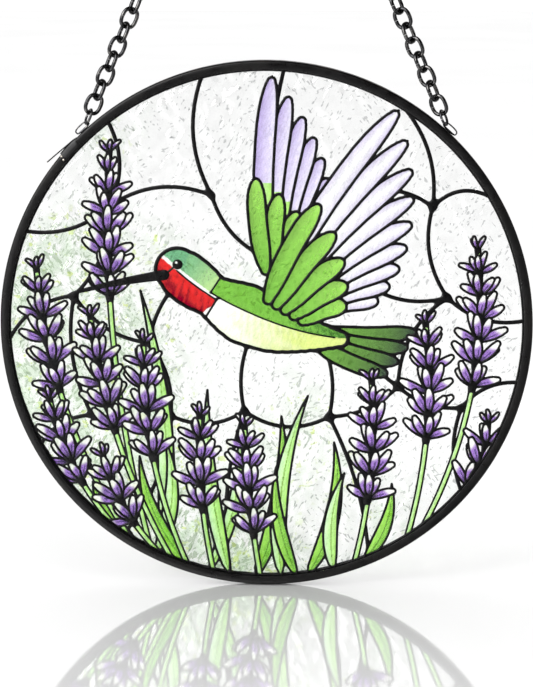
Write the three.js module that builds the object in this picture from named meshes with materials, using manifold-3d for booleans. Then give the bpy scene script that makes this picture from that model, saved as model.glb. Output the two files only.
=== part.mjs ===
// A round suncatcher: a clear glass disc with a raised black line network on its front, held in a
// channelled metal rim, and hung from a hook by one chain that runs from ear to ear.
// Millimetres, +Z up, front towards -Y. The origin is where the hook carries the chain's top link.
import * as THREE from "three";
import { mergeVertices } from "three/addons/utils/BufferGeometryUtils.js";
import Module from "manifold-3d";

const wasm = await Module();
wasm.setup();

// ---- Driving dimensions ----

// Rim: a channel of C section, open towards the centre.
const RIM_RADIUS = 100;
const RIM_DEPTH = 6;
const RIM_FACE = 3.3; // width of the band seen from the front
const RIM_WALL = 1.4;
const RIM_LIP = 0.8;
const RIM_CHAMFER = 0.6;
const ROUND_STEPS = 48;

// Joint of the rim strip: its end laps over the start, and a thin tail stands off.
const LAP = { from: 134.8, to: 139.3, proud: 0.5, depth: 5.2 };
const TAIL = { from: 135.6, to: 142.5, startRadius: 100.3, endRadius: 102.2, thick: 0.45, depth: 4.6 };

const GLASS_RADIUS = 98.2;
const GLASS_THICKNESS = 3;
const LINE_HEIGHT = 0.45; // relief of the black lines above the glass

// Ears: D-shaped wire loops on the rim's outer face.
const EAR_LEAN = 42.25; // degrees from the top of the disc
const EAR = { length: 6.5, height: 2.5, wire: 0.27, gap: 0.05, contact: 25 };

const JUMP_RING = { radius: 2.8, wire: 0.48, turn: 72 };

// Chain of oval links, which alternate by a quarter turn and twist slowly down each leg.
const LINK = { halfLength: 3.56, halfWidth: 2.9, wire: 0.725, corner: 1.12, bite: 0.06 };
const LINKS_PER_LEG = 28;
const LEG_TWIST = -30;
const TWIST_LINKS = 14;
const TOP_LINK_SPREAD = 1.15; // half the distance between the legs' ends in the top link
const PLAY = 0.15; // clearance between loose rings

// Picture: everything is placed from the centre of the disc, x to the right and z up.
const PICTURE_RADIUS = 96;
const BORDER_RADIUS = 97.4;
const RIM_REACH = 97; // where lines that run out to the rim end
const OUTLINE = 1.2;
const LEAST_HALF = 0.12; // half width at which a ribbon is left to close in a point
const FEATHER_STATIONS = [0, 0.35, 0.8, 1]; // shares of a feather's length
const BODY_STEPS = 9;
const BLADE_STEPS = 4;
const STEM_STEPS = 1;

// Background cells: their corners, and the lines between two corners or from a corner to an angle of
// the rim, each with its bow.
const CELL_HALF = 0.75;
const CELL_STEPS = 2;
const CORNERS = {
  a: [-58, 46],
  b: [-20, 50],
  c: [-72, 12],
  d: [-44, -6],
  e: [-36, -34],
  f: [-8, -32],
  g: [24, -34],
  h: [50, -22],
  i: [68, 12],
  j: [62, 46],
  k: [-66, -34],
  l: [74, -30],
  head: [-28, 22],
  back: [2, 26],
  belly: [-4, 0],
  rump: [20, -2],
  tail: [40, -8],
  wing: [34, 50],
  lowWing: [36, 18],
};
const CELL_LINES = [
  ["a", "b", 5],
  ["a", "c", 4],
  ["b", "back", -4],
  ["c", "d", -4],
  ["d", "head", 3],
  ["d", "e", 3],
  ["e", "f", -4],
  ["f", "belly", 3],
  ["f", "g", -5],
  ["g", "rump", -3],
  ["g", "h", -3],
  ["h", "tail", 2],
  ["h", "i", 5],
  ["i", "lowWing", 4],
  ["i", "j", 4],
  ["j", "wing", -4],
  ["h", "l", -3],
  ["k", "e", -3],
  ["k", "c", 4],
  ["a", 158, 4],
  ["a", 127, -4],
  ["b", 104, 5],
  ["c", 183, -4],
  ["j", 58, -4],
  ["j", 31, 4],
  ["i", 2, -4],
  ["l", -12, 3],
  ["l", -40, -3],
  ["g", -66, 3],
  ["f", -98, -4],
  ["e", -124, 4],
  ["k", 208, -3],
  ["back", 86, 3],
];

const FANS = {
  farWing: { root: [10, 22], arm: [0, 24], count: 6, turn: [62, 88], length: [30, 70], half: 3.6, bow: 2 },
  farCoverts: { root: [9, 20], arm: [0, 22], count: 3, turn: [66, 96], length: [18, 34], half: 3.4, bow: 1 },
  tail: { root: [20, -1], arm: [18, -5], count: 3, turn: [0, -24], length: [36, 30], half: 3, bow: -1.5 },
  nearWing: { root: [16, 4], arm: [2, 12], count: 8, turn: [14, 56], length: [26, 84], half: 3.9, bow: 3 },
  nearCoverts: { root: [14, 3], arm: [1, 11], count: 4, turn: [20, 62], length: [16, 40], half: 3.8, bow: 1.5 },
};

const BODY = { from: [-33, 22], to: [28, -4], bow: -5.5 };
const BODY_WIDTHS = [
  [0, 8.2],
  [0.06, 9.4],
  [0.13, 9.2],
  [0.24, 7.6],
  [0.44, 11.5],
  [0.62, 10.3],
  [0.8, 6.8],
  [1, 3],
];
const BILL = { from: [-38, 20], to: [-72, 13], bow: -0.6, half: [1.7, 0.35] };
const EYE = { at: [-33, 24], radius: 1.9 };

// Leaf blades: foot x on the rim, tip x, tip z, bow, half width.
const BACK_BLADE = [-40, -47, 14, -5, 3];
const BLADES = [
  [-50, -66, -60, 3, 2.6],
  [-42, -38, -44, -4, 2.8],
  [-30, -48, -50, 4, 2.6],
  [-14, -22, -24, 3, 2.8],
  [-4, 6, -34, -4, 3],
  [6, 16, -26, 5, 3],
  [16, 26, -44, -5, 2.8],
  [26, 30, -56, 3, 2.6],
];

// Flower spikes: foot x on the rim, tip x, tip z, bow, length in flower.
const SPIKES = [
  [-44, -58, 66, 6, 54],
  [-52, -86, 22, 7, 46],
  [-36, -66, 4, 5, 44],
  [-30, -46, -6, 5, 44],
  [-20, -25, -34, 2, 36],
  [-2, -8, -38, 1, 42],
  [34, 40, -20, -3, 46],
  [54, 60, 2, -4, 44],
  [60, 79, 30, -8, 52],
];
const STEM_HALF = 1.2;
const WHORL = { spacing: 10, half: 7, waist: 0.66, rise: 0.6 };

// ---- Materials ----

const blackMetal = new THREE.MeshStandardMaterial({ color: 0x151313, roughness: 0.42, metalness: 0.6 });
const darkSteel = new THREE.MeshStandardMaterial({ color: 0x2b2b2d, roughness: 0.28, metalness: 0.9 });
const clearGlass = new THREE.MeshStandardMaterial({
  color: 0xe9f0e8,
  roughness: 0.08,
  metalness: 0,
  transparent: true,
  opacity: 0.35,
});
const blackEnamel = new THREE.MeshStandardMaterial({ color: 0x0b0b0b, roughness: 0.35, metalness: 0 });

// ---- Solids ----

// A closed three.js geometry as a solid that can be joined and cut.
function solid(geometry, matrix = new THREE.Matrix4()) {
  const bare = geometry.clone().applyMatrix4(matrix);
  bare.deleteAttribute("normal");
  bare.deleteAttribute("uv");
  const merged = mergeVertices(bare, 1e-4);
  return new wasm.Manifold(
    new wasm.Mesh({
      numProp: 3,
      vertProperties: merged.attributes.position.array,
      triVerts: new Uint32Array(merged.index.array),
    }),
  );
}

function namedMesh(name, body, material) {
  const { vertProperties, triVerts } = body.getMesh();
  const geometry = new THREE.BufferGeometry();
  geometry.setAttribute("position", new THREE.BufferAttribute(vertProperties, 3));
  geometry.setIndex(new THREE.BufferAttribute(triVerts, 1));
  geometry.computeVertexNormals();
  const mesh = new THREE.Mesh(geometry, material);
  mesh.name = name;
  return mesh;
}

const radians = (degrees) => (degrees * Math.PI) / 180;
const lerp = THREE.MathUtils.lerp;

// A point of the disc's plane from an angle above +X and a radius.
function polar(degrees, radius) {
  return new THREE.Vector2(Math.cos(radians(degrees)), Math.sin(radians(degrees))).multiplyScalar(radius);
}

// An outline of the disc's plane, made a plate from y = back towards the front (-Y).
function plate(outline, depth, back) {
  const geometry = new THREE.ExtrudeGeometry(new THREE.Shape(outline), { depth, bevelEnabled: false });
  return solid(geometry.rotateX(Math.PI / 2).translate(0, back, 0));
}

// A wire bent into a closed loop: centreLine(angle) gives the loop's own x and y. Its corners are
// mitred, so that the section keeps its size along each straight step.
function wireLoop(centreLine, wire, steps, sides) {
  const torus = new THREE.TorusGeometry(1, 0.5, sides, steps);
  const at = torus.attributes.position;
  const small = 1e-3;
  const mitre = 1 / Math.cos(Math.PI / steps);
  for (let i = 0; i < at.count; i++) {
    const angle = Math.atan2(at.getY(i), at.getX(i));
    const side = Math.atan2(at.getZ(i), Math.hypot(at.getX(i), at.getY(i)) - 1);
    const point = centreLine(angle);
    const along = centreLine(angle + small).sub(centreLine(angle - small)).normalize();
    const out = new THREE.Vector2(along.y, -along.x).multiplyScalar(wire * mitre * Math.cos(side));
    at.setXYZ(i, point.x + out.x, point.y + out.y, wire * Math.sin(side));
  }
  return torus;
}

// ---- Lines and figures of the picture ----

// A curve between two points, its middle pushed to the left of travel.
function bowed(from, to, bow) {
  const start = new THREE.Vector2(...from);
  const end = new THREE.Vector2(...to);
  const along = end.clone().sub(start).normalize();
  const middle = start.clone().lerp(end, 0.5).add(new THREE.Vector2(-along.y, along.x).multiplyScalar(2 * bow));
  return new THREE.QuadraticBezierCurve(start, middle, end);
}

// The outline of a ribbon whose half width varies along its spine, moved out by grow. Where the
// ribbon is too thin for an inward move, the outline closes in a point on the spine.
function ribbon(spine, half, grow = 0) {
  const last = spine.length - 1;
  const left = [];
  const right = [];
  const kept = spine.map((point, i) => i).filter((i) => half[i] + grow > LEAST_HALF);
  kept.forEach((i) => {
    const along = spine[Math.min(i + 1, last)].clone().sub(spine[Math.max(i - 1, 0)]).normalize();
    const end = (i === last) - (i === 0);
    const across = new THREE.Vector2(-along.y, along.x).multiplyScalar(half[i] + grow);
    const point = spine[i].clone().addScaledVector(along, end * grow);
    left.push(point.clone().add(across));
    right.unshift(point.clone().sub(across));
  });
  const closing = (i, dropped) => {
    const share = (half[i] + grow) / (half[i] - half[dropped]);
    return spine[i].clone().lerp(spine[dropped], 0.9 * share);
  };
  if (kept.at(-1) < last) left.push(closing(kept.at(-1), kept.at(-1) + 1));
  if (kept[0] > 0) right.push(closing(kept[0], kept[0] - 1));
  return left.concat(right);
}

// An outline as a line's relief on the glass, and as a taller cutter through that relief.
const relief = (outline) => plate(outline, LINE_HEIGHT, -GLASS_THICKNESS / 2);
const cutter = (outline) => plate(outline, 3 * LINE_HEIGHT, LINE_HEIGHT - GLASS_THICKNESS / 2);

// The picture's lines so far. Each figure clears what it covers and adds its outline.
let lines;

function drawArea(outline) {
  lines = lines.add(relief(outline));
}

function drawLine(spine, half) {
  drawArea(ribbon(spine, typeof half === "number" ? spine.map(() => half) : half));
}

function drawFigure(spine, half, line = OUTLINE) {
  drawArea(ribbon(spine, half, line / 2));
  lines = lines.subtract(cutter(ribbon(spine, half, -line / 2)));
}

function drawCells() {
  CELL_LINES.forEach(([start, end, bow]) => {
    const finish = typeof end === "number" ? polar(end, RIM_REACH).toArray() : CORNERS[end];
    drawLine(bowed(CORNERS[start], finish, bow).getPoints(CELL_STEPS), CELL_HALF);
  });
}

// A feather's half width: it widens from the root and rounds off to its tip.
function featherHalf(t, half) {
  const widening = t < 0.35 ? 1 - 0.5 * (1 - t / 0.35) ** 2 : 1;
  const rounding = t > 0.72 ? Math.sqrt(Math.max(0, 1 - ((t - 0.72) / 0.28) ** 2)) : 1;
  return half * widening * rounding;
}

// Feathers side by side along an arm, turning and lengthening from its root to its end.
function drawFan({ root, arm, count, turn, length, half, bow }) {
  for (let i = 0; i < count; i++) {
    const share = i / (count - 1);
    const foot = new THREE.Vector2(...root).lerp(new THREE.Vector2(...arm), share);
    const tip = foot.clone().add(polar(lerp(turn[0], turn[1], share), lerp(length[0], length[1], share)));
    const quill = bowed(foot.toArray(), tip.toArray(), bow);
    drawFigure(FEATHER_STATIONS.map((t) => quill.getPoint(t)), FEATHER_STATIONS.map((t) => featherHalf(t, half)));
  }
}

// The half width of the body at a share of its length, between the stations above.
function bodyHalf(t) {
  const next = Math.max(1, BODY_WIDTHS.findIndex(([at]) => at >= t));
  const [t0, half0] = BODY_WIDTHS[next - 1];
  const [t1, half1] = BODY_WIDTHS[next];
  return lerp(half0, half1, (t - t0) / (t1 - t0));
}

function drawBird() {
  drawFan(FANS.farWing);
  drawFan(FANS.farCoverts);
  drawFan(FANS.tail);
  const steps = BODY_STEPS;
  const spine = bowed(BODY.from, BODY.to, BODY.bow).getPoints(steps);
  drawFigure(spine, spine.map((_, i) => bodyHalf(i / steps)), OUTLINE + 0.2);
  drawFan(FANS.nearWing);
  drawFan(FANS.nearCoverts);
}

function drawBill() {
  const spine = bowed(BILL.from, BILL.to, BILL.bow).getPoints(4);
  drawLine(spine, spine.map((_, i) => lerp(BILL.half[0], BILL.half[1], i / 4)));
  drawArea(new THREE.EllipseCurve(...EYE.at, EYE.radius, EYE.radius).getPoints(10).slice(1));
  drawLine([new THREE.Vector2(...BILL.from), new THREE.Vector2(...EYE.at)], 0.4);
}

const footOnRim = (x) => [x, -Math.sqrt(RIM_REACH ** 2 - x ** 2)];

function drawBlade([footX, tipX, tipZ, bow, half]) {
  const steps = BLADE_STEPS;
  const spine = bowed(footOnRim(footX), [tipX, tipZ], bow).getPoints(steps);
  const halves = spine.map((_, i) => half * Math.sin(Math.PI * (i / steps) ** 0.66) ** 0.9 + 0.05);
  drawFigure(spine, halves, 0.9);
}

// A flower spike: a stem, and whorls that stand as one lobed area, waisted between them.
function drawSpike([footX, tipX, tipZ, bow, flower]) {
  const curve = bowed(footOnRim(footX), [tipX, tipZ], bow);
  const total = curve.getLength();
  const bare = 1 - flower / total;
  const stem = Array.from({ length: STEM_STEPS + 1 }, (_, i) => curve.getPointAt((bare * i) / STEM_STEPS));
  drawLine(stem, STEM_HALF);
  const whorls = Math.round(flower / WHORL.spacing);
  const spine = [];
  const halves = [];
  for (let j = 0; j < whorls; j++) {
    const share = j / (whorls - 1);
    const size = (0.62 + 0.38 * Math.sin(Math.PI * Math.min(1, 0.2 + 0.75 * share))) * (1 - 0.42 * share ** 2.2);
    const at = 1 - (flower * (1 - share)) / total;
    spine.push(curve.getPointAt(at), curve.getPointAt(Math.min(1, at + (WHORL.spacing * WHORL.rise) / total)));
    halves.push(WHORL.half * size * WHORL.waist, WHORL.half * size);
  }
  spine.pop();
  halves.pop();
  drawLine(spine, halves);
}

function drawPicture() {
  const border = (radius) => new THREE.EllipseCurve(0, 0, radius, radius).getPoints(ROUND_STEPS).slice(1);
  lines = relief(border(BORDER_RADIUS)).subtract(cutter(border(PICTURE_RADIUS)));
  drawCells();
  drawBlade(BACK_BLADE);
  drawBird();
  BLADES.forEach(drawBlade);
  SPIKES.forEach(drawSpike);
  drawBill();
  return lines.intersect(cutter(border(BORDER_RADIUS)));
}

// ---- Rim, glass and hanging parts ----

function makeRim() {
  const front = RIM_DEPTH / 2;
  const inner = RIM_RADIUS - RIM_FACE;
  const groove = RIM_RADIUS - RIM_WALL;
  const half = [
    [groove, front - RIM_LIP],
    [inner, front - RIM_LIP],
    [inner, front],
    [RIM_RADIUS - RIM_CHAMFER, front],
    [RIM_RADIUS, front - RIM_CHAMFER],
  ];
  const mirrored = half.map(([radius, y]) => [radius, -y]).reverse();
  const section = [...half, ...mirrored, half[0]].map(([radius, y]) => new THREE.Vector2(radius, y));
  const channel = solid(new THREE.LatheGeometry(section.reverse(), ROUND_STEPS));
  return channel.add(makeLap()).add(makeTail());
}

function makeLap() {
  const outer = RIM_RADIUS + LAP.proud;
  const inner = RIM_RADIUS - RIM_WALL / 2;
  const ends = [LAP.from, (LAP.from + LAP.to) / 2, LAP.to];
  const outline = [...ends.map((a) => polar(a, outer)), ...ends.map((a) => polar(a, inner)).reverse()];
  return plate(outline, LAP.depth, LAP.depth / 2);
}

function makeTail() {
  const spine = [polar(TAIL.from, TAIL.startRadius), polar(TAIL.to, TAIL.endRadius)];
  return plate(ribbon(spine, [TAIL.thick / 2, TAIL.thick / 2]), TAIL.depth, TAIL.depth / 2);
}

function makeGlass() {
  return solid(new THREE.CylinderGeometry(GLASS_RADIUS, GLASS_RADIUS, GLASS_THICKNESS, ROUND_STEPS));
}

// The ear's D: x along the rim towards the top, y outwards from the rim.
function earLine(angle) {
  const halfLength = EAR.length / 2 - EAR.wire;
  const halfHeight = EAR.height / 2 - EAR.wire;
  const power = Math.sin(angle) > 0 ? 0.8 : 0.4;
  const x = halfLength * Math.sign(Math.cos(angle)) * Math.abs(Math.cos(angle)) ** 0.75;
  const y = halfHeight * Math.sign(Math.sin(angle)) * Math.abs(Math.sin(angle)) ** power;
  return new THREE.Vector2(x, y + EAR.gap + EAR.wire + halfHeight);
}

// Oval with flat ends and pointed sides, as wide and long along its wire as the round link.
const LINK_STEPS = 6;
function linkLine(angle) {
  const stretch = 1 / Math.cos(Math.PI / LINK_STEPS);
  const turned = angle + Math.PI / LINK_STEPS;
  return new THREE.Vector2(LINK.halfLength * stretch * Math.cos(turned), LINK.halfWidth * Math.sin(turned));
}

// Places a flat loop: its own x along one direction, its y along another, its centre at a point.
function placed(along, across, centre) {
  const normal = new THREE.Vector3().crossVectors(along, across);
  return new THREE.Matrix4().makeBasis(along, across, normal).setPosition(centre);
}

const inSpace = (point) => new THREE.Vector3(point.x, 0, point.y);
const upright = new THREE.Vector3(0, 0, 1);
const sideways = new THREE.Vector3(1, 0, 0);

// Everything of one side's hanging line, seen in the disc's plane: -1 left, +1 right.
function hangingLine(side) {
  const earAngle = 90 - side * EAR_LEAN;
  const outwards = inSpace(polar(earAngle, 1));
  const upwards = new THREE.Vector3(-outwards.z * side, 0, outwards.x * side);
  const touch = earLine(radians(EAR.contact));
  const earTouch = outwards.clone().multiplyScalar(RIM_RADIUS + touch.y).addScaledVector(upwards, touch.x);
  const inRing = EAR.wire + JUMP_RING.wire + PLAY;
  const inLink = LINK.wire + JUMP_RING.wire + PLAY;
  const toLink = 2 * JUMP_RING.radius - inRing - inLink;
  const reach = toLink + 2 * LINK.halfLength + (LINKS_PER_LEG - 1) * linkPitch;
  const across = Math.abs(earTouch.x) - TOP_LINK_SPREAD;
  const rise = Math.sqrt(reach ** 2 - across ** 2);
  const top = new THREE.Vector3(side * TOP_LINK_SPREAD, 0, earTouch.z + rise);
  const up = top.clone().sub(earTouch).normalize();
  const ringCentre = earTouch.clone().addScaledVector(up, JUMP_RING.radius - inRing);
  return { side, outwards, upwards, up, top, ringCentre };
}

const linkPitch = 2 * (LINK.halfLength - LINK.wire) + LINK.bite;
const legs = [hangingLine(-1), hangingLine(1)];
const topLinkDrop = LINK.halfWidth * (1 - TOP_LINK_SPREAD / (2 * LINK.halfLength)); // of its lower wire, at the legs
const topLinkHeight = legs[0].top.z + topLinkDrop - 2 * LINK.wire + LINK.bite;
const hookHeight = topLinkHeight + LINK.halfWidth - LINK.wire;

// A direction square to the leg, turned about it from the disc's plane towards the back.
function acrossLeg({ side, up }, degrees) {
  const inPlane = new THREE.Vector3(up.z, 0, -up.x);
  const back = new THREE.Vector3(0, side, 0);
  const turn = radians(degrees);
  return inPlane.multiplyScalar(Math.cos(turn)).addScaledVector(back, Math.sin(turn));
}

function makeEar({ outwards, upwards }) {
  const foot = outwards.clone().multiplyScalar(RIM_RADIUS);
  return solid(wireLoop(earLine, EAR.wire, 12, 5), placed(upwards, outwards, foot));
}

function makeJumpRing(leg) {
  const ring = new THREE.TorusGeometry(JUMP_RING.radius, JUMP_RING.wire, 5, 12);
  return solid(ring, placed(leg.up, acrossLeg(leg, JUMP_RING.turn), leg.ringCentre));
}

function makeChain() {
  const link = wireLoop(linkLine, LINK.wire * LINK.corner, LINK_STEPS, 4);
  let chain = solid(link, placed(sideways, upright, new THREE.Vector3(0, 0, topLinkHeight)));
  legs.forEach((leg) => {
    for (let k = 0; k < LINKS_PER_LEG; k++) {
      const turn = (k % 2 ? 0 : 90) + LEG_TWIST * Math.min(1, k / TWIST_LINKS);
      const centre = leg.top.clone().addScaledVector(leg.up, -LINK.halfLength - k * linkPitch);
      chain = chain.add(solid(link, placed(leg.up, acrossLeg(leg, turn), centre)));
    }
  });
  return chain;
}

// ---- The suncatcher ----

const suncatcher = new THREE.Group();
suncatcher.position.z = -hookHeight;
suncatcher.add(namedMesh("rim", makeRim(), blackMetal));
suncatcher.add(namedMesh("glass_panel", makeGlass(), clearGlass));
suncatcher.add(namedMesh("leading", drawPicture(), blackEnamel));
legs.forEach((leg) => {
  const name = leg.side < 0 ? "left" : "right";
  suncatcher.add(namedMesh(`ear_${name}`, makeEar(leg), darkSteel));
  suncatcher.add(namedMesh(`jump_ring_${name}`, makeJumpRing(leg), darkSteel));
});
suncatcher.add(namedMesh("chain", makeChain(), darkSteel));

export default suncatcher;
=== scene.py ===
import math

import bpy
import numpy as np
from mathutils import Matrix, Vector
from mathutils.geometry import delaunay_2d_cdt


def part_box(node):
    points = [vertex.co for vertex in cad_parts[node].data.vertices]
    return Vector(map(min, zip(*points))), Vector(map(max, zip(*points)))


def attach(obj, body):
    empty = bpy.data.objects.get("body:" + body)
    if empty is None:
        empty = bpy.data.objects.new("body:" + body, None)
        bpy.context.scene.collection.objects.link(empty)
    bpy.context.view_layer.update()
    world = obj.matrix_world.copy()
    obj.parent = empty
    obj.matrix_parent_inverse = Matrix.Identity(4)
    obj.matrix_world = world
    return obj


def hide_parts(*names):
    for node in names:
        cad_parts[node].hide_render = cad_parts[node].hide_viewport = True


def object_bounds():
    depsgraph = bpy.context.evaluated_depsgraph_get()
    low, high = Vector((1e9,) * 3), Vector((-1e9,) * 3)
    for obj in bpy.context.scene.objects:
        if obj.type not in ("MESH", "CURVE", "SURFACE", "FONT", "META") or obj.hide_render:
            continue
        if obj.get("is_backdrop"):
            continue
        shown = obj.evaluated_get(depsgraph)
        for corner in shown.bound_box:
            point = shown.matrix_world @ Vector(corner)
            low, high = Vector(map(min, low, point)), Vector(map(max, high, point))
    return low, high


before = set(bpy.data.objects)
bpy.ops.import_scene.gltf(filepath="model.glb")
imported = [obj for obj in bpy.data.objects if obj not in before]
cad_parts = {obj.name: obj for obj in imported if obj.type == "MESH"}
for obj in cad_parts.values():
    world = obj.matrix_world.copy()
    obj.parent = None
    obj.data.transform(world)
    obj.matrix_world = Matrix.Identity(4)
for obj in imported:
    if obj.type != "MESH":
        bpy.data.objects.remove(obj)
cad_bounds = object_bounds()

# Geometry below is made in millimetres from the centre of the disc, x to the right, y to the back
# and z up, and is moved to the row's frame, in metres, when a piece is made.
RIM_LOW, RIM_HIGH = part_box("rim")
GLASS_LOW, GLASS_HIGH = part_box("glass_panel")
CENTRE = (RIM_LOW + RIM_HIGH) / 2
RIM_RADIUS = (RIM_HIGH.x - RIM_LOW.x) * 500
RIM_HALF_DEPTH = (RIM_HIGH.y - RIM_LOW.y) * 500
GLASS_RADIUS = (GLASS_HIGH.x - GLASS_LOW.x) * 500
GLASS_HALF = (GLASS_HIGH.y - GLASS_LOW.y) * 500
LINE_HEIGHT = (GLASS_LOW.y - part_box("leading")[0].y) * 1000

# The same values as in part.mjs, in millimetres and degrees.
RIM_FACE, RIM_WALL, RIM_LIP = 3.3, 1.4, 0.8
LAP = {"start": 134.8, "end": 139.3, "proud": 0.5, "depth": 5.2}
TAIL = {"start": 135.6, "end": 142.5, "radii": (100.3, 102.2), "thick": 0.45, "depth": 4.6}
EAR_LEAN = 42.25
EAR = {"length": 6.5, "height": 2.5, "wire": 0.27, "gap": 0.05, "contact": 25}
JUMP_RING = {"radius": 2.8, "wire": 0.48, "turn": 72}
LINK = {"half_length": 3.56, "half_width": 2.9, "wire": 0.725, "bite": 0.06}
LINKS_PER_LEG, LEG_TWIST, TWIST_LINKS = 28, -30, 14
TOP_LINK_SPREAD, PLAY = 1.15, 0.15
PICTURE_RADIUS, BORDER_RADIUS = 96.0, 97.4
FILM_LIFT = 0.03  # of the colours over the glass

# Colours, as they look on a screen.
LEAF_DARK, LEAF = (0.14, 0.36, 0.07), (0.34, 0.64, 0.13)
LEAF_LIGHT, MINT = (0.57, 0.85, 0.27), (0.78, 0.94, 0.72)
INK, VIOLET, PURPLE = (0.07, 0.04, 0.14), (0.26, 0.17, 0.46), (0.50, 0.33, 0.70)
LILAC, LILAC_PALE, BUD_TIP = (0.62, 0.54, 0.80), (0.90, 0.88, 0.96), (0.95, 0.95, 0.93)
WHITE, RED, RED_DARK = (0.96, 0.97, 0.95), (0.83, 0.05, 0.05), (0.40, 0.0, 0.02)


def linear(colour):
    """A screen colour as the linear one that shaders take."""
    c = np.asarray(colour, float)
    return np.where(c <= 0.04045, c / 12.92, ((c + 0.055) / 1.055) ** 2.4)


# ---- Materials ----


class Paint:
    """A node material around one Principled shader. Plain values go straight on the shader."""

    def __init__(self, name, **values):
        self.material = bpy.data.materials.new(name)
        self.material.use_nodes = True
        self.tree = self.material.node_tree
        self.shader = self.tree.nodes["Principled BSDF"]
        for key, value in values.items():
            self.shader.inputs[key.replace("_", " ")].default_value = value
        self.place = self.node("ShaderNodeTexCoord").outputs["Object"]

    def node(self, kind, inputs=None, **settings):
        made = self.tree.nodes.new(kind)
        for key, value in settings.items():
            setattr(made, key, value)
        for key, value in (inputs or {}).items():
            self.feed(made.inputs[key], value)
        return made

    def feed(self, socket, value):
        if isinstance(value, bpy.types.NodeSocket):
            self.tree.links.new(value, socket)
        else:
            socket.default_value = value

    def drive(self, **values):
        for key, value in values.items():
            self.feed(self.shader.inputs[key.replace("_", " ")], value)

    def noise(self, scale, detail=2.0, vector=None):
        inputs = {"Scale": scale, "Detail": detail, "Vector": vector or self.place}
        return self.node("ShaderNodeTexNoise", inputs).outputs["Fac"]

    def mapped(self, size, turn):
        """The place turned about y, then in units of a size in mm: marks lie along the turned axes."""
        scale = [v / 1000 for v in size]
        inputs = {"Vector": self.place, "Scale": scale, "Rotation": (0, math.radians(turn), 0)}
        return self.node("ShaderNodeMapping", inputs, vector_type="TEXTURE").outputs["Vector"]

    def spread(self, value, low, high, to_low=0.0, to_high=1.0, smooth=True):
        """value's range low to high as to_low to to_high, held at both ends."""
        ends = {"From Min": low, "From Max": high, "To Min": to_low, "To Max": to_high}
        made = self.node("ShaderNodeMapRange", {"Value": value, **ends})
        made.interpolation_type = "SMOOTHSTEP" if smooth else "LINEAR"
        return made.outputs["Result"]

    def math(self, operation, a, b=0.0):
        return self.node("ShaderNodeMath", {0: a, 1: b}, operation=operation).outputs[0]

    def blend(self, factor, a, b):
        """A mix of two colours, each a screen colour or another node's output."""
        made = self.node("ShaderNodeMix", data_type="RGBA")
        self.feed(made.inputs[0], factor)
        for socket, colour in ((made.inputs[6], a), (made.inputs[7], b)):
            self.feed(socket, colour if isinstance(colour, bpy.types.NodeSocket) else (*linear(colour), 1))
        return made.outputs[2]

    def bump(self, height, distance, strength=1.0):
        """Raises the surface by height, from 0 to 1, times a distance in metres."""
        inputs = {"Height": height, "Distance": distance, "Strength": strength}
        return self.node("ShaderNodeBump", inputs).outputs["Normal"]


def enamel():
    """The rim's satin black coat: an orange peel, dust-dull patches, and pale brownish patches on its outer
    face that are partly wear and partly a painted highlight.
    """
    p = Paint("rim_enamel", Metallic=0.0, Specular_IOR_Level=0.1, Coat_Weight=0.05, Coat_Roughness=0.1)
    across = p.node("ShaderNodeSeparateXYZ", {"Vector": p.place})
    up = p.math("SUBTRACT", across.outputs["Z"], CENTRE.z)
    squares = [p.math("MULTIPLY", v, v) for v in (across.outputs["X"], up)]
    radius = p.math("SQRT", p.math("ADD", *squares))
    outer = p.spread(radius, RIM_RADIUS / 1000 - 0.0007, RIM_RADIUS / 1000 - 0.0001)
    # Pale brownish patches round the outer face: partly wear, partly a painted highlight along that edge.
    wear_and_painted_highlight = p.math("MULTIPLY", outer, p.spread(p.noise(120, 6), 0.5, 0.68))
    coat = p.blend(p.spread(p.noise(60, 5), 0.45, 0.7), (0.02, 0.018, 0.019), (0.05, 0.045, 0.042))
    p.drive(
        Base_Color=p.blend(wear_and_painted_highlight, coat, (0.13, 0.11, 0.10)),
        Roughness=p.spread(p.noise(240, 5), 0.3, 0.7, 0.26, 0.44),
        Normal=p.bump(p.noise(1400, 3), 0.00004, 0.5),
    )
    return p.material


def steel(name, dark, light, rough=(0.16, 0.38)):
    """Blackened steel wire: drawn lines along it, paler where it rubs."""
    p = Paint(name, Metallic=0.85, Specular_IOR_Level=0.5)
    rub = p.spread(p.noise(420, 5), 0.5, 0.66)
    p.drive(
        Base_Color=p.blend(rub, dark, light),
        Roughness=p.spread(p.noise(900, 4), 0.3, 0.7, *rough),
        Normal=p.bump(p.noise(2600, 2), 0.00002, 0.4),
    )
    return p.material


def line_black():
    """The raised lines: thick glossy black paint with a slightly uneven skin."""
    p = Paint("line_black", Specular_IOR_Level=0.08)
    p.drive(
        Base_Color=p.blend(p.spread(p.noise(500, 3), 0.4, 0.65), (0.01, 0.01, 0.012), (0.03, 0.028, 0.03)),
        Roughness=p.spread(p.noise(900, 3), 0.3, 0.7, 0.25, 0.42),
        Normal=p.bump(p.noise(1100, 2), 0.00005, 0.6),
    )
    return p.material


def film(name):
    """Transparent colour on the glass: the tint is painted on the vertices, it is a little uneven in a fine
    grain, and it carries painted streaks of shade from the glass's ripples.
    """
    p = Paint(name, Transmission_Weight=0.62, IOR=1.02, Roughness=0.12, Specular_IOR_Level=0.3)
    tint = p.node("ShaderNodeVertexColor", layer_name="tint").outputs["Color"]
    # Painted shade: long streaks across the colours, standing for the glass's ripples refracting behind them.
    ripple_shade_streak = p.noise(1.0, 4, p.mapped((0.7, 2.5, 2.4), 24))
    grain = p.noise(1900, 3)
    shade = p.math("ADD", p.spread(ripple_shade_streak, 0.3, 0.7, -0.10, 0.10), p.spread(grain, 0.35, 0.65, 0.90, 1.06))
    shaded = p.node("ShaderNodeVectorMath", {0: tint, "Scale": shade}, operation="SCALE")
    p.drive(Base_Color=shaded.outputs["Vector"])
    return p.material


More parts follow.
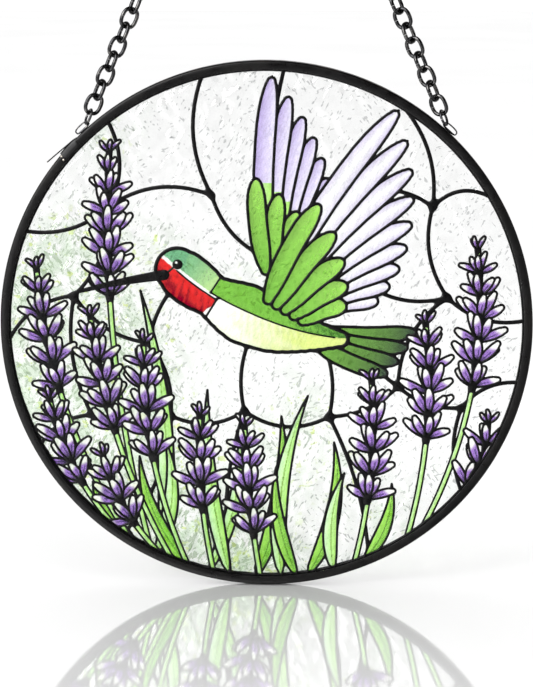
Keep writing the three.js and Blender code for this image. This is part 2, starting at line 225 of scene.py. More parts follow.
def textured_glass():
    """Clear pressed glass, greening towards the lower left. Short grey strokes in its colour are painted
    shade, standing for what its ripples refract.
    """
    p = Paint("clear_glass", Transmission_Weight=1.0, IOR=1.5, Roughness=0.0, Specular_IOR_Level=0.5)
    across = p.node("ShaderNodeSeparateXYZ", {"Vector": p.place})
    slope = 0.8  # how much a step down greens the glass, against a step to the left
    left = p.math("MULTIPLY", across.outputs["X"], -1.0)
    down = p.math("MULTIPLY", across.outputs["Z"], -slope)
    ragged = p.math("ADD", p.math("ADD", left, down), p.spread(p.noise(26, 3), 0.3, 0.7, -0.04, 0.04))
    centre = -slope * CENTRE.z
    green = p.spread(ragged, centre - 0.03, centre + 0.12)

    def either(factor, a, b):
        return p.node("ShaderNodeMix", {0: factor, 2: a, 3: b}, data_type="FLOAT").outputs[0]

    # Painted shade: short grey strokes in the glass's colour, standing for darker surroundings seen through
    # its ripples.
    strokes = [p.noise(1.0, 1.0, p.mapped((1.1, 3.0, 2.8), turn)) for turn in (-38, 28, 72)]
    stroke = either(p.spread(p.noise(60, 2), 0.44, 0.5), strokes[0], strokes[1])
    stroke = either(p.spread(p.noise(75, 2), 0.54, 0.6), stroke, strokes[2])
    threshold = p.spread(green, 0, 1, 0.665, 0.575, smooth=False)
    dashes = p.spread(p.math("SUBTRACT", stroke, threshold), 0.0, 0.03)
    off_contour = p.math("ABSOLUTE", p.math("SUBTRACT", stroke, 0.47))
    outline = p.math("SUBTRACT", 1.0, p.spread(off_contour, 0.0, 0.02))
    outline = p.math("MULTIPLY", outline, p.spread(green, 0.1, 0.9, 0.12, 0.75))
    # Where the painted shade of the strokes and their outlines turns the glass grey.
    stroke_shade = p.math("MAXIMUM", dashes, outline)

    patch = p.math("MULTIPLY", green, p.spread(p.noise(150, 3), 0.42, 0.58))
    pale = p.blend(patch, (0.985, 0.987, 0.985), (0.86, 0.92, 0.84))
    grey = p.blend(green, (0.66, 0.67, 0.67), (0.60, 0.69, 0.56))
    body = p.blend(stroke_shade, pale, grey)
    speck = p.math("MULTIPLY", p.spread(p.noise(320, 2), 0.645, 0.69), p.spread(green, 0.12, 0.5))
    p.drive(Base_Color=p.blend(speck, body, (0.78, 0.88, 0.45)))
    return p.material


# ---- Meshes ----


def piece(name, points, faces, material, slot, crease=40, replaces=(), colours=None):
    """A mesh piece from points in millimetres from the disc's centre."""
    points = np.asarray(points, float)
    mesh = bpy.data.meshes.new(name)
    mesh.from_pydata((points / 1000 + np.array(CENTRE)).tolist(), [], [list(map(int, f)) for f in faces])
    mesh.materials.append(material)
    if colours is not None:
        layer = mesh.color_attributes.new("tint", "FLOAT_COLOR", "POINT")
        opaque = np.hstack([colours, np.ones((len(colours), 1))])
        layer.data.foreach_set("color", opaque.astype(np.float32).ravel())
    mesh.shade_smooth()
    if crease:
        mesh.set_sharp_from_angle(angle=math.radians(crease))
    made = bpy.data.objects.new(name, mesh)
    bpy.context.scene.collection.objects.link(made)
    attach(made, "root")
    for node in replaces:
        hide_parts(node)
    return made


def swept(rows, close_along=True):
    """Points and faces of a tube over rings of points. It closes on itself, or its ends are capped."""
    rows = np.asarray(rows)
    n, m = rows.shape[:2]
    i, j = np.meshgrid(np.arange(n if close_along else n - 1), np.arange(m), indexing="ij")
    k, l = (i + 1) % n, (j + 1) % m
    quads = np.stack([i * m + j, k * m + j, k * m + l, i * m + l], -1).reshape(-1, 4)
    faces = quads.tolist()
    if not close_along:
        faces += [list(range(m)), list(range((n - 1) * m, n * m))[::-1]]
    return rows.reshape(-1, 3), faces


def joined(parts):
    """Several (points, faces) as one."""
    points, faces, start = [], [], 0
    for p, f in parts:
        points.append(p)
        faces += [[v + start for v in face] for face in f]
        start += len(p)
    return np.vstack(points), faces


def wire_loop(line, wire, centre, along, across, steps=40, sides=12, gap=0.0):
    """A round wire bent along line(angle), the loop's own x and y. A gap parts its ends by that angle."""
    normal = np.cross(along, across)
    first, last = gap / 2, 2 * math.pi - gap / 2
    angles = np.linspace(first, last, steps + bool(gap), endpoint=bool(gap)) - math.pi / 2
    ring = np.linspace(0, 2 * math.pi, sides, endpoint=False)
    rows = []
    for a in angles:
        x, y = line(a)
        (x0, y0), (x1, y1) = line(a - 1e-3), line(a + 1e-3)
        length = math.hypot(x1 - x0, y1 - y0)
        out = ((y1 - y0) / length, -(x1 - x0) / length)
        size = wire(a) if callable(wire) else wire
        spot = centre + x * along + y * across
        side = out[0] * along + out[1] * across
        rows.append([spot + size * (math.cos(r) * side + math.sin(r) * normal) for r in ring])
    return swept(rows, close_along=not gap)


def unit(v):
    return v / np.linalg.norm(v)


def polar(degrees, radius=1.0):
    return np.array((radius * math.cos(math.radians(degrees)), radius * math.sin(math.radians(degrees))))


# ---- Rim ----


def rim_section():
    """The C section as (radius, y), with softened edges."""
    front, inner, groove = RIM_HALF_DEPTH, RIM_RADIUS - RIM_FACE, RIM_RADIUS - RIM_WALL
    back, outer = front - RIM_LIP, RIM_RADIUS
    lip = [(groove, back), (inner + 0.2, back), (inner + 0.04, back + 0.06), (inner, back + 0.2)]
    inner_edge = [(inner, front - 0.22), (inner + 0.06, front - 0.06), (inner + 0.24, front)]
    face = [(outer - 1.7, front - 0.015), (outer - 0.72, front - 0.03), (outer - 0.5, front - 0.09)]
    outer_edge = [(outer - 0.12, front - 0.5), (outer - 0.02, front - 0.75), (outer, front - 1.3)]
    half = lip + inner_edge + face + outer_edge + [(outer, 0.5)]
    return np.array(half + [(r, -y) for r, y in reversed(half)])


def around(degrees, section):
    """A section of (radius, y) points, set up at an angle of the disc."""
    x, z = polar(degrees)
    return [(x * r, y, z * r) for r, y in section]


def make_channel():
    """The bent strip itself, a little uneven round its outside."""
    rows = []
    for degrees in np.linspace(0, 360, 240, endpoint=False):
        turn = math.radians(degrees)
        wobble = 0.02 * math.sin(3 * turn + 1) + 0.012 * math.sin(7 * turn) - 0.032
        rows.append(around(degrees, [(r + wobble * (r > RIM_RADIUS - 1), y) for r, y in rim_section()]))
    return swept(rows)


def make_lap():
    """The strip's end: a sleeve that hugs the channel, and eases down onto it where it starts."""
    radius, front = RIM_RADIUS, RIM_HALF_DEPTH
    inner, inside, proud, d = radius - RIM_FACE, radius - 0.7, radius + LAP["proud"], LAP["depth"] / 2
    on_front = [(inner + 0.5, front - 0.1), (inner + 0.55, front + 0.12), (radius - 0.55, front + 0.13)]
    on_outside = [(radius + 0.05, front - 0.22), (proud - 0.12, d - 0.1), (proud, d - 0.5), (proud, 0.4)]
    sleeve = on_front + on_outside
    wrap = sleeve + [(r, -y) for r, y in reversed(sleeve)] + [(inside, -d + 0.4), (inside, d - 0.4)]
    rows = []
    for k, degrees in enumerate(np.linspace(LAP["start"], LAP["end"], 9)):
        ease = (0.75, 0.96)[k] if k < 2 else 1.0
        eased = [(inside + (r - inside) * ease, y * (0.985 + 0.015 * ease)) for r, y in wrap]
        rows.append(around(degrees, eased))
    return swept(rows, close_along=False)


def make_tail():
    """The thin tail under the sleeve, which stands off more and more."""
    half, d, soft = TAIL["thick"] / 2, TAIL["depth"] / 2, 0.08
    near = [(-half, -d + 0.1), (-half + soft, -d), (half - soft, -d), (half, -d + 0.1)]
    strip = near + [(r, -y) for r, y in reversed(near)]
    rows = []
    for share in np.linspace(0, 1, 10):
        degrees = TAIL["start"] + (TAIL["end"] - TAIL["start"]) * share
        r0 = TAIL["radii"][0] + (TAIL["radii"][1] - TAIL["radii"][0]) * share**1.3
        rows.append(around(degrees, [(r0 + r, y) for r, y in strip]))
    return swept(rows, close_along=False)


def make_weld(degrees, radius):
    """A low round blob on the rim's front."""
    x, z = polar(degrees, radius)
    rows = []
    for height, size in ((-0.1, 0.44), (0.03, 0.42), (0.11, 0.3), (0.14, 0.12)):
        angles = np.linspace(0, 2 * math.pi, 12, endpoint=False)
        y = -RIM_HALF_DEPTH - height
        rows.append([(x + size * math.cos(t), y, z + 0.8 * size * math.sin(t)) for t in angles])
    return swept(rows, close_along=False)


def make_rim():
    parts = [make_channel(), make_lap(), make_tail()]
    piece("rim_channel", *joined(parts), enamel(), "rim_metal", crease=34, replaces=["rim"])

    # Two spot welds hold the joint. They break the black coat.
    bright = steel("weld_steel", (0.52, 0.50, 0.47), (0.80, 0.78, 0.75), (0.2, 0.45))
    spots = [make_weld(139.55, 99.35), make_weld(139.8, 97.95)]
    piece("rim_spot_welds", *joined(spots), bright, "dark_steel")


# ---- Hanging parts ----


def ear_line(a):
    half_length, half_height = EAR["length"] / 2 - EAR["wire"], EAR["height"] / 2 - EAR["wire"]
    c, s = math.cos(a), math.sin(a)
    x = half_length * math.copysign(abs(c) ** 0.75, c)
    y = half_height * math.copysign(abs(s) ** (0.8 if s > 0 else 0.4), s)
    return x, y + EAR["gap"] + EAR["wire"] + half_height


def link_line(a):
    """An oval, a little squarer than an ellipse."""
    c, s = (math.copysign(abs(v) ** 0.78, v) for v in (math.cos(a), math.sin(a)))
    return LINK["half_length"] * c, LINK["half_width"] * s


PITCH = 2 * (LINK["half_length"] - LINK["wire"]) + LINK["bite"]


class Leg:
    """One side's hanging line in the disc's plane: -1 left, +1 right."""

    def __init__(self, side):
        self.side = side
        x, z = polar(90 - side * EAR_LEAN)
        self.outwards = np.array((x, 0, z))
        self.upwards = np.array((-z * side, 0, x * side))
        touch = ear_line(math.radians(EAR["contact"]))
        ear_touch = self.outwards * (RIM_RADIUS + touch[1]) + self.upwards * touch[0]
        in_ring = EAR["wire"] + JUMP_RING["wire"] + PLAY
        in_link = LINK["wire"] + JUMP_RING["wire"] + PLAY
        links = 2 * LINK["half_length"] + (LINKS_PER_LEG - 1) * PITCH
        reach = 2 * JUMP_RING["radius"] - in_ring - in_link + links
        across = abs(ear_touch[0]) - TOP_LINK_SPREAD
        self.top = np.array((side * TOP_LINK_SPREAD, 0, ear_touch[2] + math.sqrt(reach**2 - across**2)))
        self.up = unit(self.top - ear_touch)
        self.ring = ear_touch + self.up * (JUMP_RING["radius"] - in_ring)

    def across(self, degrees):
        """A direction square to the leg, turned about it from the disc's plane towards the back."""
        c, s = polar(degrees)
        return c * np.array((self.up[2], 0, -self.up[0])) + s * np.array((0, self.side, 0))


def ear_wire(a):
    """The ear's wire is thicker at its foot, where it is fixed."""
    return EAR["wire"] * (1.0 + 0.55 * max(0.0, -math.sin(a)) ** 3)


def ring_line(a):
    return JUMP_RING["radius"] * math.cos(a), JUMP_RING["radius"] * math.sin(a)


def link(centre, along, across):
    seam = 0.008
    return wire_loop(link_line, LINK["wire"], centre, along, across, 36, 12, seam)


def make_hanging_parts():
    wire = steel("ear_steel", (0.16, 0.16, 0.17), (0.36, 0.35, 0.34))
    blackened = steel("chain_steel", (0.13, 0.13, 0.135), (0.26, 0.255, 0.25), (0.08, 0.2))
    legs = [Leg(-1), Leg(1)]
    links = []
    for leg in legs:
        name = "left" if leg.side < 0 else "right"
        foot = leg.outwards * RIM_RADIUS
        ear = wire_loop(ear_line, ear_wire, foot, leg.upwards, leg.outwards, 56, 14)
        piece(f"ear_{name}_wire", *ear, wire, "dark_steel", replaces=[f"ear_{name}"])
        across = leg.across(JUMP_RING["turn"])
        ring = wire_loop(ring_line, JUMP_RING["wire"], leg.ring, leg.up, across, 40, 12, 0.07)
        piece(f"jump_ring_{name}_wire", *ring, wire, "dark_steel", replaces=[f"jump_ring_{name}"])
        for k in range(LINKS_PER_LEG):
            twist = LEG_TWIST * min(1, k / TWIST_LINKS) + 2.5 * math.sin(2.7 * k + leg.side)
            centre = leg.top - leg.up * (LINK["half_length"] + k * PITCH)
            links.append(link(centre, leg.up, leg.across((0 if k % 2 else 90) + twist)))
    drop = LINK["half_width"] * (1 - TOP_LINK_SPREAD / (2 * LINK["half_length"]))
    apex = np.array((0, 0, legs[0].top[2] + drop - 2 * LINK["wire"] + LINK["bite"]))
    links.append(link(apex, np.array((1.0, 0, 0)), np.array((0, 0, 1.0))))
    piece("chain_links", *joined(links), blackened, "dark_steel", crease=50, replaces=["chain"])


# ---- The picture: distances to its lines on a fine grid ----

STEP = 0.15
GRID_REACH = 99
AXIS = np.arange(-GRID_REACH, GRID_REACH + STEP / 2, STEP)
GRID_X, GRID_Z = np.meshgrid(AXIS, AXIS)
black = np.full(GRID_X.shape, -50.0)  # how deep a point lies inside a black line, in mm
tint = np.ones(GRID_X.shape + (3,))
film_of = np.zeros(GRID_X.shape, np.uint8)
NONE, BIRD, FLOWER, STEM = range(4)


def bowed(start, end, bow, steps=12):
    """A curve between two points, its middle pushed to the left of travel."""
    p0, p2 = np.array(start, float), np.array(end, float)
    along = unit(p2 - p0)
    p1 = (p0 + p2) / 2 + np.array((-along[1], along[0])) * 2 * bow
    t = np.linspace(0, 1, steps + 1)[:, None]
    return (1 - t) ** 2 * p0 + 2 * t * (1 - t) * p1 + t * t * p2


def window(low, high):
    """The grid's rows and columns between two corners."""
    i0, i1 = np.searchsorted(AXIS, (low[0], high[0]))
    j0, j1 = np.searchsorted(AXIS, (low[1], high[1]))
    return j0, j1, i0, i1


def ribbon(spine, half, reach=3.0):
    """A ribbon's window of the grid, and in it the distance from its edge, the share of its length and
    the side, from -1 to 1 across it."""
    half = np.broadcast_to(half, len(spine))
    m = half.max() + reach
    j0, j1, i0, i1 = window(spine.min(0) - m, spine.max(0) + m)
    shape = (j1 - j0, i1 - i0)
    away, share, side = np.full(shape, 1e3), np.zeros(shape), np.zeros(shape)
    last = len(spine) - 1
    for k in range(last):
        a, b = spine[k], spine[k + 1]
        wide = max(half[k], half[k + 1]) + reach
        v0, v1, u0, u1 = window(np.minimum(a, b) - wide, np.maximum(a, b) + wide)
        part = (slice(v0 - j0, v1 - j0), slice(u0 - i0, u1 - i0))
        x, z = GRID_X[v0:v1, u0:u1], GRID_Z[v0:v1, u0:u1]
        ab = b - a
        size = ab @ ab + 1e-12
        u = np.clip(((x - a[0]) * ab[0] + (z - a[1]) * ab[1]) / size, 0, 1)
        dx, dz = x - a[0] - u * ab[0], z - a[1] - u * ab[1]
        h = half[k] + (half[k + 1] - half[k]) * u
        d = np.hypot(dx, dz) - h
        left = (ab[0] * dz - ab[1] * dx) / math.sqrt(size) / np.maximum(h, 1e-3)
        nearer = d < away[part]
        away[part] = np.where(nearer, d, away[part])
        share[part] = np.where(nearer, (k + u) / last, share[part])
        side[part] = np.where(nearer, left, side[part])
    return (slice(j0, j1), slice(i0, i1)), away, share, side


def webbed(a, b, width):
    """The larger of two, filleted where they are within width of each other."""
    if not width:
        return np.maximum(a, b)
    h = np.clip(0.5 + 0.5 * (a - b) / width, 0, 1)
    return b + (a - b) * h + width * h * (1 - h)


def draw_line(spine, half, fillet=0.0):
    place, away, _, _ = ribbon(spine, half)
    black[place] = webbed(black[place], -away, fillet)


def draw_figure(spine, half, line, colour, film, fillet=0.0):
    """A figure clears what it covers, takes its colour, and gets an outline."""
    place, away, share, side = ribbon(spine, half)
    old = np.minimum(black[place], away)
    black[place] = webbed(old, line / 2 - np.abs(away), fillet)
    inside = away < line * 0.2
    tint[place] = np.where(inside[..., None], colour(share, side), tint[place])
    film_of[place] = np.where(inside, film, film_of[place])


def shades(a, b, share):
    share = np.clip(share, 0, 1)[..., None]
    return np.array(a) * (1 - share) + np.array(b) * share


def where(test, a, b):
    return np.where(test[..., None], a, b)


# Background: rounded cells of clear glass. Each inner corner is placed around the bird, and
# a line runs between two corners, or from a corner to an angle on the rim.
CORNERS = {
    "a": (-58, 46), "b": (-20, 50), "c": (-72, 12), "d": (-44, -6), "e": (-36, -34), "f": (-8, -32),
    "g": (24, -34), "h": (50, -22), "i": (68, 12), "j": (62, 46), "k": (-66, -34), "l": (74, -30),
    "head": (-28, 22), "back": (2, 26), "belly": (-4, 0), "rump": (20, -2), "tail": (40, -8),
    "wing": (34, 50), "low_wing": (36, 18),
}  # fmt: skip
CELL_LINES = [
    ("a", "b", 5), ("a", "c", 4), ("b", "back", -4), ("c", "d", -4), ("d", "head", 3), ("d", "e", 3),
    ("e", "f", -4), ("f", "belly", 3), ("f", "g", -5), ("g", "rump", -3), ("g", "h", -3), ("h", "tail", 2),
    ("h", "i", 5), ("i", "low_wing", 4), ("i", "j", 4), ("j", "wing", -4), ("h", "l", -3), ("k", "e", -3),
    ("k", "c", 4), ("a", 158, 4), ("a", 127, -4), ("b", 104, 5), ("c", 183, -4), ("j", 58, -4), ("j", 31, 4),
    ("i", 2, -4), ("l", -12, 3), ("l", -40, -3), ("g", -66, 3), ("f", -98, -4), ("e", -124, 4),
    ("k", 208, -3), ("back", 86, 3),
]  # fmt: skip
CELL_HALF, CELL_FILLET, LINE_REACH = 0.75, 1.8, 97


def draw_cells():
    for start, end, bow in CELL_LINES:
        finish = CORNERS[end] if isinstance(end, str) else polar(end, LINE_REACH)
        draw_line(bowed(CORNERS[start], finish, bow, 14), CELL_HALF, CELL_FILLET)


def feather_half(t, half):
    """A feather's half width: it widens from the root and rounds off to its tip."""
    widening = np.where(t < 0.35, 1 - 0.5 * (1 - t / 0.35) ** 2, 1)
    rounding = np.where(t > 0.72, np.sqrt(np.maximum(0, 1 - ((t - 0.72) / 0.28) ** 2)), 1)
    return half * widening * rounding


FEATHER_STEPS = 40
FEATHER_STATIONS = [0, 4, 9, 14, 20, 26, 30, 33, 35, 37, 38, 39, 40]  # the steps kept, closer at the tip


def draw_fan(root, arm, count, turn, length, half, bow, colour):
    """Feathers side by side along an arm, turning and lengthening from its root to its end."""
    halves = feather_half(np.array(FEATHER_STATIONS) / FEATHER_STEPS, half)
    for k in np.linspace(0, 1, count):
        root_end = np.array(root) + (np.array(arm) - np.array(root)) * k
        heading, long = turn[0] + (turn[1] - turn[0]) * k, length[0] + (length[1] - length[0]) * k
        quill = bowed(root_end, root_end + polar(heading, long), bow, FEATHER_STEPS)[FEATHER_STATIONS]
        draw_figure(quill, halves, 1.1, colour, BIRD, 0.5)


def far_feather(t, s):
    return where(t < 0.3, shades(MINT, LEAF_LIGHT, 0.5 - 0.5 * s), shades(LILAC_PALE, LILAC, 0.5 + 0.5 * s))


def near_feather(t, s):
    return shades(WHITE, LILAC, np.abs(s) * 0.9 * (0.3 + 0.7 * t))


def covert(t, s):
    return shades(LEAF, LEAF_LIGHT, t) * (1 - 0.25 * np.clip(s, 0, 1))[..., None]


def tail_feather(t, s):
    return shades(LEAF, (0.10, 0.16, 0.10), t * 1.2)


def body_colour(t, s):
    """Green back, mint crown, white to yellow belly and a red throat, with fine hatching."""
    hatch = 0.09 * np.sin(150 * t + 9 * s) * (np.abs(s) < 0.93)
    crown = shades((0.30, 0.58, 0.38), (0.62, 0.80, 0.45), t * 5)
    back = shades(LEAF, LEAF_DARK, (t - 0.7) * 3 + hatch * 3)
    belly = shades(WHITE, (0.80, 0.88, 0.42), (t - 0.35) * 2.2 + hatch)
    colour = where(s > 0.1, where(t < 0.22, crown, back), belly)
    throat = shades(RED, RED_DARK, -s * 1.2 - 0.3 + 4 * hatch)
    return where((t < 0.27) & (s < -0.05), throat, colour)


BODY_STEPS = 20
BODY_STATIONS = [0, 0.06, 0.13, 0.24, 0.44, 0.62, 0.8, 1]
BODY_HALVES = [8.2, 9.4, 9.2, 7.6, 11.5, 10.3, 6.8, 3.0]


def draw_bird():
    draw_fan((10, 22), (0, 24), 7, (62, 88), (30, 70), 3.6, 2.0, far_feather)
    draw_fan((9, 20), (0, 22), 4, (66, 96), (18, 34), 3.4, 1.0, covert)
    draw_fan((20, -1), (18, -5), 4, (0, -24), (36, 30), 3.0, -1.5, tail_feather)
    spine = bowed((-33, 22), (28, -4), -5.5, BODY_STEPS)
    half = np.interp(np.linspace(0, 1, BODY_STEPS + 1), BODY_STATIONS, BODY_HALVES)
    draw_figure(spine, half, 1.4, body_colour, BIRD, 1.0)
    draw_body_lines(spine, half)
    draw_fan((16, 4), (2, 12), 9, (14, 56), (26, 84), 3.9, 3.0, near_feather)
    draw_fan((14, 3), (1, 11), 5, (20, 62), (16, 40), 3.8, 1.5, covert)


def draw_body_lines(spine, half):
    """The lines between the body's colours: round the throat, and along the flank."""

    def at(t, s):
        i = min(int(t * BODY_STEPS), BODY_STEPS - 1)
        u = t * BODY_STEPS - i
        along = unit(spine[i + 1] - spine[i])
        h = half[i] + (half[i + 1] - half[i]) * u
        return spine[i] + (spine[i + 1] - spine[i]) * u + s * h * np.array((-along[1], along[0]))

    draw_line(np.array([at(t, -0.05) for t in np.linspace(0, 0.27, 6)]), 0.3, 0.6)
    draw_line(np.array([at(0.27, s) for s in np.linspace(-0.05, -1, 6)]), 0.4, 0.6)
    draw_line(np.array([at(0.22, s) for s in np.linspace(0.1, 1, 6)]), 0.35, 0.6)
    draw_line(np.array([at(t, 0.1) for t in np.linspace(0.22, 0.97, 16)]), 0.3, 0.6)
    draw_line(np.array([at(0.27 + 0.03 * math.sin(3 * s), s) for s in np.linspace(-0.05, 0.1, 3)]), 0.3, 0.6)


def draw_bill():
    draw_line(bowed((-38, 20), (-72, 13), -0.6, 10), np.linspace(2.0, 0.6, 11))
    draw_line(bowed((-38, 20), (-33, 24), 0, 3), 0.4)
    eye = np.array([(-33.0, 24.0), (-32.9, 24.0)])
    draw_line(eye, 1.9)
    place, away, _, _ = ribbon(eye + np.array((-0.5, 0.7)), 0.45)
    black[place] = np.minimum(black[place], away)
    tint[place] = where(away < 0.1, np.array(WHITE), tint[place])


def leaf_half(steps, half, peak):
    t = np.linspace(0, 1, steps + 1)
    return half * np.sin(np.pi * t ** (math.log(0.5) / math.log(peak))) ** 0.9 + 0.05


FOOT_RADIUS = 97.5  # where blades and stems start, under the border


def foot(x):
    return x, -math.sqrt(FOOT_RADIUS**2 - x * x)


# Leaf blades: foot x, tip x, tip z, bow, half width, and whether the blade is a dark one.
BACK_BLADE = (-40, -47, 14, -5, 3.0, 0)
BLADES = [
    (-50, -66, -60, 3, 2.6, 1), (-42, -38, -44, -4, 2.8, 0), (-30, -48, -50, 4, 2.6, 1),
    (-22, -10, -40, -4, 2.4, 0), (-14, -22, -24, 3, 2.8, 0), (-4, 6, -34, -4, 3.0, 1),
    (6, 16, -26, 5, 3.0, 0), (12, 4, -54, 3, 2.4, 1), (16, 26, -44, -5, 2.8, 1),
    (26, 30, -56, 3, 2.6, 0), (38, 48, -60, -3, 2.4, 1),
]  # fmt: skip


def draw_blade(foot_x, tip_x, tip_z, bow, half, dark):
    a, b = (LEAF, LEAF_LIGHT) if dark else (LEAF_LIGHT, MINT)

    def colour(t, s):
        vein = (np.abs(s + 0.1) < 0.1) & (t < 0.9)
        return where(vein, np.array(a) * 0.8, shades(a, b, 0.5 + 0.5 * s + 0.2 * t))

    spine = bowed(foot(foot_x), (tip_x, tip_z), bow, 16)
    draw_figure(spine, leaf_half(16, half, 0.35), 0.9, colour, STEM, 0.6)


# Flower spikes: foot x, tip x, tip z, bow, length in flower.
SPIKES = [
    (-44, -58, 66, 6, 54), (-52, -86, 22, 7, 46), (-36, -66, 4, 5, 44), (-56, -82, -28, 4, 34),
    (-30, -46, -6, 5, 44), (-40, -62, -50, 3, 28), (-20, -25, -34, 2, 36), (-2, -8, -38, 1, 42),
    (34, 40, -20, -3, 46), (54, 60, 2, -4, 44), (60, 79, 30, -8, 52), (70, 84, -36, -4, 26),
]  # fmt: skip


def floret_colour(t, s):
    """A bud: inky at its foot, violet along it, and a clear pale tip that reaches further down one side."""
    petal = shades(shades(INK, PURPLE, (t - 0.08) * 3.4), BUD_TIP, (t - 0.62) * 5.5 + 0.6 * s)
    return where((np.abs(s + 0.2) < 0.18) & (t < 0.6), shades(INK, VIOLET, t * 1.6), petal)


def bud_half(half):
    """A bud is narrow at its foot and round at its tip."""
    return half * np.array((0.42, 0.68, 0.88, 1.0, 1.0, 0.9, 0.66))


def stem_colour(t, s):
    return shades(LEAF_LIGHT, MINT, 0.5 + 0.5 * s)


WHORL_SPACING = 7.2  # of the buds along a stem


def draw_spike(foot_x, tip_x, tip_z, bow, flower):
    """A stem, and whorls of buds along its upper part. They are drawn from the tip down, so that each
    whorl covers the foot of the next."""
    spine = bowed(foot(foot_x), (tip_x, tip_z), bow, 24)
    draw_figure(spine, 0.95, 0.7, stem_colour, STEM)
    steps = np.diff(spine, axis=0)
    run = np.concatenate([[0], np.cumsum(np.hypot(steps[:, 0], steps[:, 1]))])
    whorls = round(flower / WHORL_SPACING)
    for j in reversed(range(whorls)):
        u = j / (whorls - 1)
        at = run[-1] - flower * (1 - u)
        centre = np.array((np.interp(at, run, spine[:, 0]), np.interp(at, run, spine[:, 1])))
        step = steps[min(int(np.searchsorted(run, at)), len(steps)) - 1]
        heading = math.degrees(math.atan2(step[1], step[0]))
        size = (0.66 + 0.34 * math.sin(math.pi * min(1, 0.22 + 0.7 * u))) * (1 - 0.36 * u**2.2)
        draw_line(np.array([centre, centre + polar(heading, 3.4 * size)]), 1.7 * size, 1.0)
        for m, offset in enumerate((57, -57, 29, -29, 2) if u < 0.85 else (34, -34, 3)):
            turn = heading + offset + 10 * math.sin(2.3 * j + 1.7 * m + tip_x)
            reach = 9.3 if abs(offset) > 20 else 8.2
            length = reach * size * (1 + 0.14 * math.sin(3.1 * j + 2 * m + tip_z))
            start = centre + polar(turn, 1.2 * size)
            bud = bowed(start, start + polar(turn, length), 0.35 * math.sin(j + m), 6)
            draw_figure(bud, bud_half(1.75 * size), 0.9, floret_colour, FLOWER)
        heart = np.array([centre - polar(heading, 1.2 * size), centre + polar(heading, 0.8 * size)])
        draw_line(heart, 1.5 * size, 0.8)


def draw_picture():
    """Everything from the back to the front, then cut to the round border."""
    draw_cells()
    draw_blade(*BACK_BLADE)
    draw_bird()
    for blade in BLADES:
        draw_blade(*blade)
    for spike in SPIKES:
        draw_spike(*spike)
    draw_bill()
    from_centre = np.hypot(GRID_X, GRID_Z)
    black[:] = np.minimum(np.maximum(black, from_centre - PICTURE_RADIUS), BORDER_RADIUS - from_centre)
    film_of[from_centre > PICTURE_RADIUS + 0.3] = NONE


# ---- The picture as meshes ----


def contours(level):
    """Closed loops round the places where black is above level."""
    field = black - level
    field = np.where(np.abs(field) < 1e-6, 1e-6, field)
    inside = field > 0
    case = inside[:-1, :-1] + 2 * inside[:-1, 1:] + 4 * inside[1:, 1:] + 8 * inside[1:, :-1]
    rows, cols = np.nonzero((case > 0) & (case < 15))
    n = field.shape[1]
    # A cell's sides: 0 below, 1 right, 2 above, 3 left. Each case joins two sides, with the inside on
    # the same hand of travel.
    joins = {
        1: [(0, 3)], 2: [(1, 0)], 3: [(1, 3)], 4: [(2, 1)], 6: [(2, 0)], 7: [(2, 3)],
        8: [(3, 2)], 9: [(0, 2)], 11: [(1, 2)], 12: [(3, 1)], 13: [(0, 1)], 14: [(3, 0)],
    }  # fmt: skip
    following = {}
    for r, c, kind in zip(rows.tolist(), cols.tolist(), case[rows, cols].tolist()):
        if kind in (5, 10):
            high = field[r, c] + field[r, c + 1] + field[r + 1, c] + field[r + 1, c + 1] > 0
            if kind == 5:
                pairs = [(0, 1), (2, 3)] if high else [(0, 3), (2, 1)]
            else:
                pairs = [(1, 2), (3, 0)] if high else [(1, 0), (3, 2)]
        else:
            pairs = joins[kind]
        sides = (2 * (r * n + c), 2 * (r * n + c + 1) + 1, 2 * ((r + 1) * n + c), 2 * (r * n + c) + 1)
        for a, b in pairs:
            following[sides[a]] = sides[b]
    loops = []
    while following:
        first, at = following.popitem()
        ids = [first]
        while at != first:
            ids.append(at)
            at = following.pop(at)
        ids = np.array(ids)
        corner, upright = ids // 2, ids % 2
        r, c = corner // n, corner % n
        r2, c2 = r + upright, c + 1 - upright
        f1, f2 = field[r, c], field[r2, c2]
        u = f1 / (f1 - f2)
        loops.append(np.stack([AXIS[c] + STEP * u * (1 - upright), AXIS[r] + STEP * u * upright], 1))
    return loops


def thinned(loop, tolerance):
    """A loop without the points that lie within tolerance of a straight run."""
    if len(loop) < 12:
        return None
    far = int(np.argmax(np.hypot(*(loop - loop[0]).T)))
    keep = np.zeros(len(loop) + 1, bool)
    closed = np.vstack([loop, loop[:1]])
    keep[[0, far, len(loop)]] = True
    stack = [(0, far), (far, len(loop))]
    while stack:
        i, j = stack.pop()
        if j - i < 2:
            continue
        a, b = closed[i], closed[j]
        ab = b - a
        size = math.hypot(*ab)
        run = closed[i + 1 : j] - a
        off = np.abs(run[:, 0] * ab[1] - run[:, 1] * ab[0]) / size if size > 1e-9 else np.hypot(*run.T)
        k = int(off.argmax())
        if off[k] > tolerance:
            keep[i + 1 + k] = True
            stack += [(i, i + 1 + k), (i + 1 + k, j)]
    made = closed[:-1][keep[:-1]]
    return made if len(made) > 3 else None


def black_at(points):
    """black between the grid's points."""
    u = (points - AXIS[0]) / STEP
    i, j = np.floor(u).astype(int).T
    a, b = (u - np.floor(u)).T
    low = black[j, i] * (1 - a) + black[j, i + 1] * a
    high = black[j + 1, i] * (1 - a) + black[j + 1, i + 1] * a
    return low * (1 - b) + high * b


# A line's rounded shoulder: depth inside the line, share of its height there, and tolerance, in mm.
LEVELS = [(0.0, 0.45, 0.035), (0.13, 0.8, 0.05), (0.36, 1.0, 0.06)]


